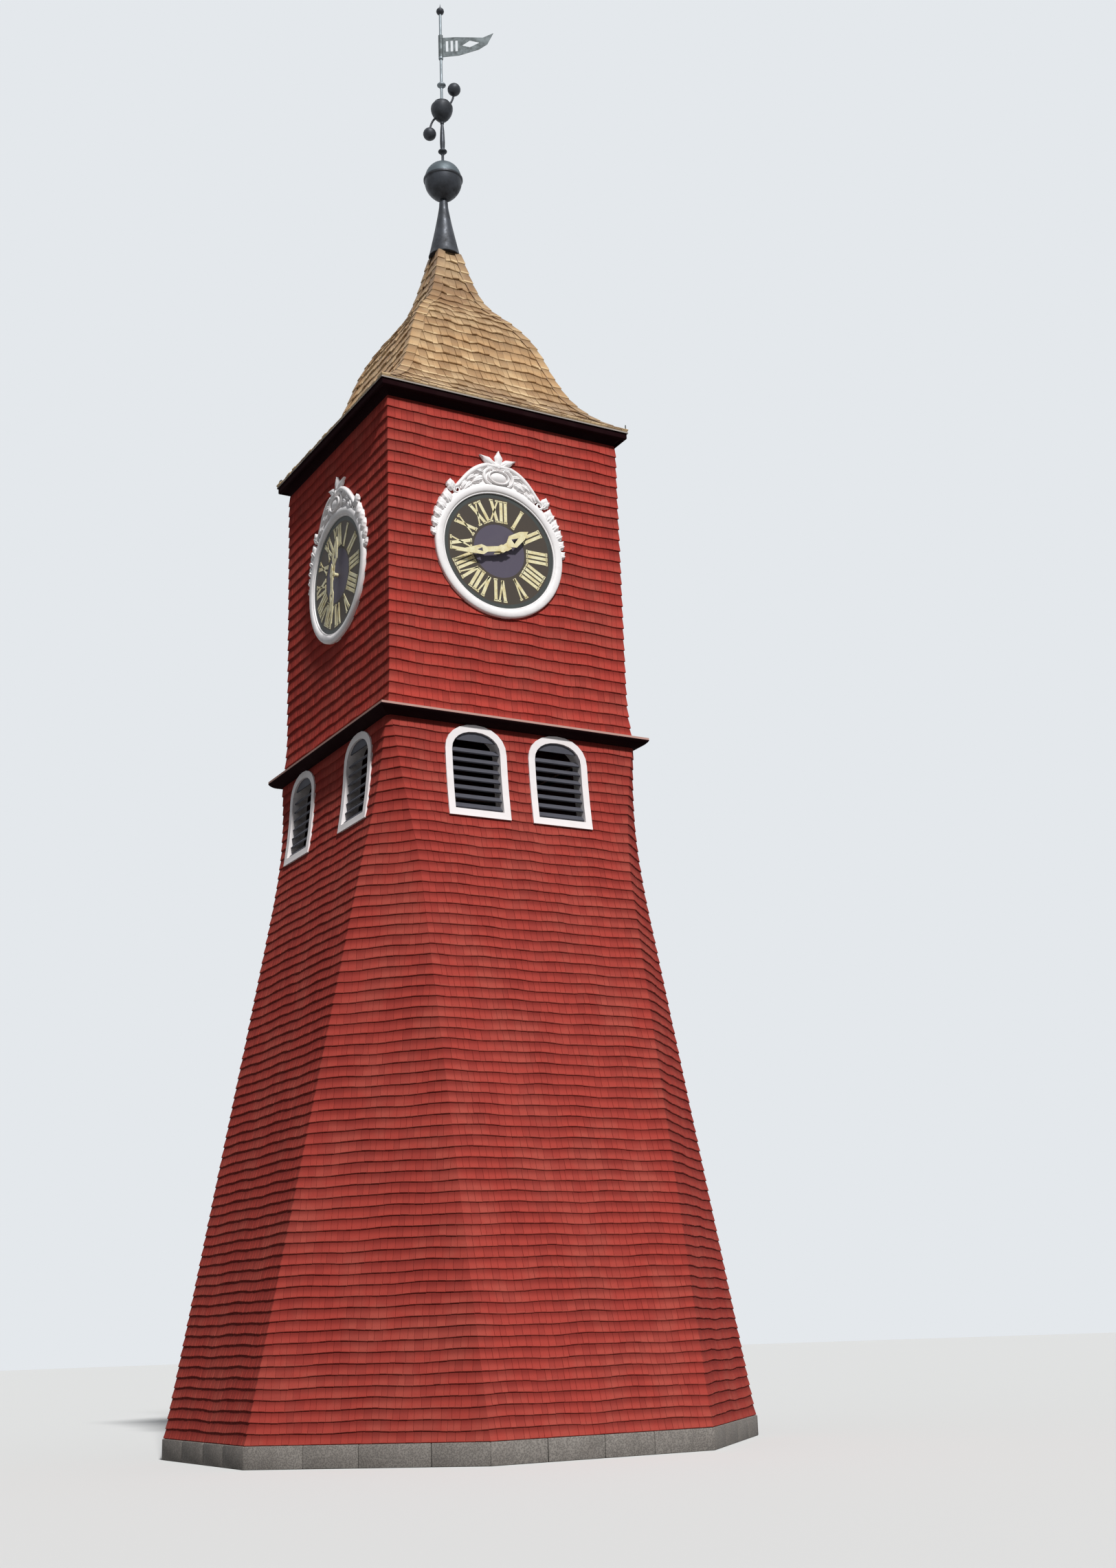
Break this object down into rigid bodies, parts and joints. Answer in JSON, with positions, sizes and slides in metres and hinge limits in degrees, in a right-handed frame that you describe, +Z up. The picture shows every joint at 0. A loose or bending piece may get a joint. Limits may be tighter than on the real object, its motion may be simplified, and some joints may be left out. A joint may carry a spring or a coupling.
{
  "type": "shingled clock tower",
  "caption": "Timber clock tower with a flaring octagonal shingled foot, louvred belfry, square clock stage, ogee roof, metal spire and turning vane.",
  "frame": {"origin": "centre of the footing's underside, at ground level", "axes": "+Z up, -Y out of the south dial, +X out of the east dial"},
  "size_m": [8.52, 8.52, 26.46],
  "materials": {
    "granite": "rough stone",
    "bare_timber": "bare boards",
    "red_shingle": "red painted shingles",
    "roof_shingle": "bare shingles",
    "dark_timber": "dark painted boards",
    "white_paint": "white oil paint",
    "louvre_paint": "dark grey paint",
    "dial_paint": "matt dark grey",
    "gilding": "weathered gilding",
    "weathered_metal": "weathered dark sheet metal",
    "grey_sheet": "weathered grey sheet metal"
  },
  "bodies": {
    "tower": {"stone_footing": "granite", "belfry_floor": "bare_timber", "window_frames": "white_paint", "dial_plates": "dial_paint", "string_course": "dark_timber", "eaves": "dark_timber", "spire_cone": "weathered_metal", "large_ball": "weathered_metal", "vane_rod": "weathered_metal", "middle_ball": "weathered_metal", "top_ball": "weathered_metal", "lower_wall_east": "red_shingle", "clock_wall_east": "red_shingle", "louvres_east": "louvre_paint", "dial_surround_east": "white_paint", "roof_slope_east": "roof_shingle", "lower_wall_north": "red_shingle", "clock_wall_north": "red_shingle", "louvres_north": "louvre_paint", "dial_surround_north": "white_paint", "roof_slope_north": "roof_shingle", "lower_wall_west": "red_shingle", "clock_wall_west": "red_shingle", "louvres_west": "louvre_paint", "dial_surround_west": "white_paint", "roof_slope_west": "roof_shingle", "lower_wall_south": "red_shingle", "clock_wall_south": "red_shingle", "louvres_south": "louvre_paint", "dial_surround_south": "white_paint", "roof_slope_south": "roof_shingle", "corner_wall_north_east": "red_shingle", "corner_wall_north_west": "red_shingle", "corner_wall_south_west": "red_shingle", "corner_wall_south_east": "red_shingle"},
    "vane": {"weather_vane": "grey_sheet"},
    "minute_east": {"minute_hand_east": "gilding"},
    "hour_east": {"hour_hand_east": "gilding"},
    "minute_north": {"minute_hand_north": "gilding"},
    "hour_north": {"hour_hand_north": "gilding"},
    "minute_west": {"minute_hand_west": "gilding"},
    "hour_west": {"hour_hand_west": "gilding"},
    "minute_south": {"minute_hand_south": "gilding"},
    "hour_south": {"hour_hand_south": "gilding"}
  },
  "joints": [
    {"name": "vane_turn", "type": "hinge", "parent": "tower", "child": "vane", "pos_m": [0, 0, 25.475], "axis": [0, 0, 1], "continuous": true},
    {"name": "minute_south_turn", "type": "hinge", "parent": "tower", "child": "minute_south", "pos_m": [-0.18, -2.16, 14.06], "axis": [0, -1, 0], "continuous": true},
    {"name": "hour_south_turn", "type": "hinge", "parent": "tower", "child": "hour_south", "pos_m": [-0.18, -2.16, 14.06], "axis": [0, -1, 0], "continuous": true},
    {"name": "minute_east_turn", "type": "hinge", "parent": "tower", "child": "minute_east", "pos_m": [2.16, 0.13, 14.06], "axis": [1, 0, 0], "continuous": true},
    {"name": "hour_east_turn", "type": "hinge", "parent": "tower", "child": "hour_east", "pos_m": [2.16, 0.13, 14.06], "axis": [1, 0, 0], "continuous": true},
    {"name": "minute_north_turn", "type": "hinge", "parent": "tower", "child": "minute_north", "pos_m": [0.18, 2.16, 14.06], "axis": [0, 1, 0], "continuous": true},
    {"name": "hour_north_turn", "type": "hinge", "parent": "tower", "child": "hour_north", "pos_m": [0.18, 2.16, 14.06], "axis": [0, 1, 0], "continuous": true},
    {"name": "minute_west_turn", "type": "hinge", "parent": "tower", "child": "minute_west", "pos_m": [-2.16, -0.13, 14.06], "axis": [-1, 0, 0], "continuous": true},
    {"name": "hour_west_turn", "type": "hinge", "parent": "tower", "child": "hour_west", "pos_m": [-2.16, -0.13, 14.06], "axis": [-1, 0, 0], "continuous": true}
  ],
  "couplings": [
    {"joint": "hour_south_turn", "follows": "minute_south_turn", "ratio": 0.083333},
    {"joint": "minute_east_turn", "follows": "minute_south_turn", "ratio": 1},
    {"joint": "hour_east_turn", "follows": "minute_south_turn", "ratio": 0.083333},
    {"joint": "minute_north_turn", "follows": "minute_south_turn", "ratio": 1},
    {"joint": "hour_north_turn", "follows": "minute_south_turn", "ratio": 0.083333},
    {"joint": "minute_west_turn", "follows": "minute_south_turn", "ratio": 1},
    {"joint": "hour_west_turn", "follows": "minute_south_turn", "ratio": 0.083333}
  ]
}
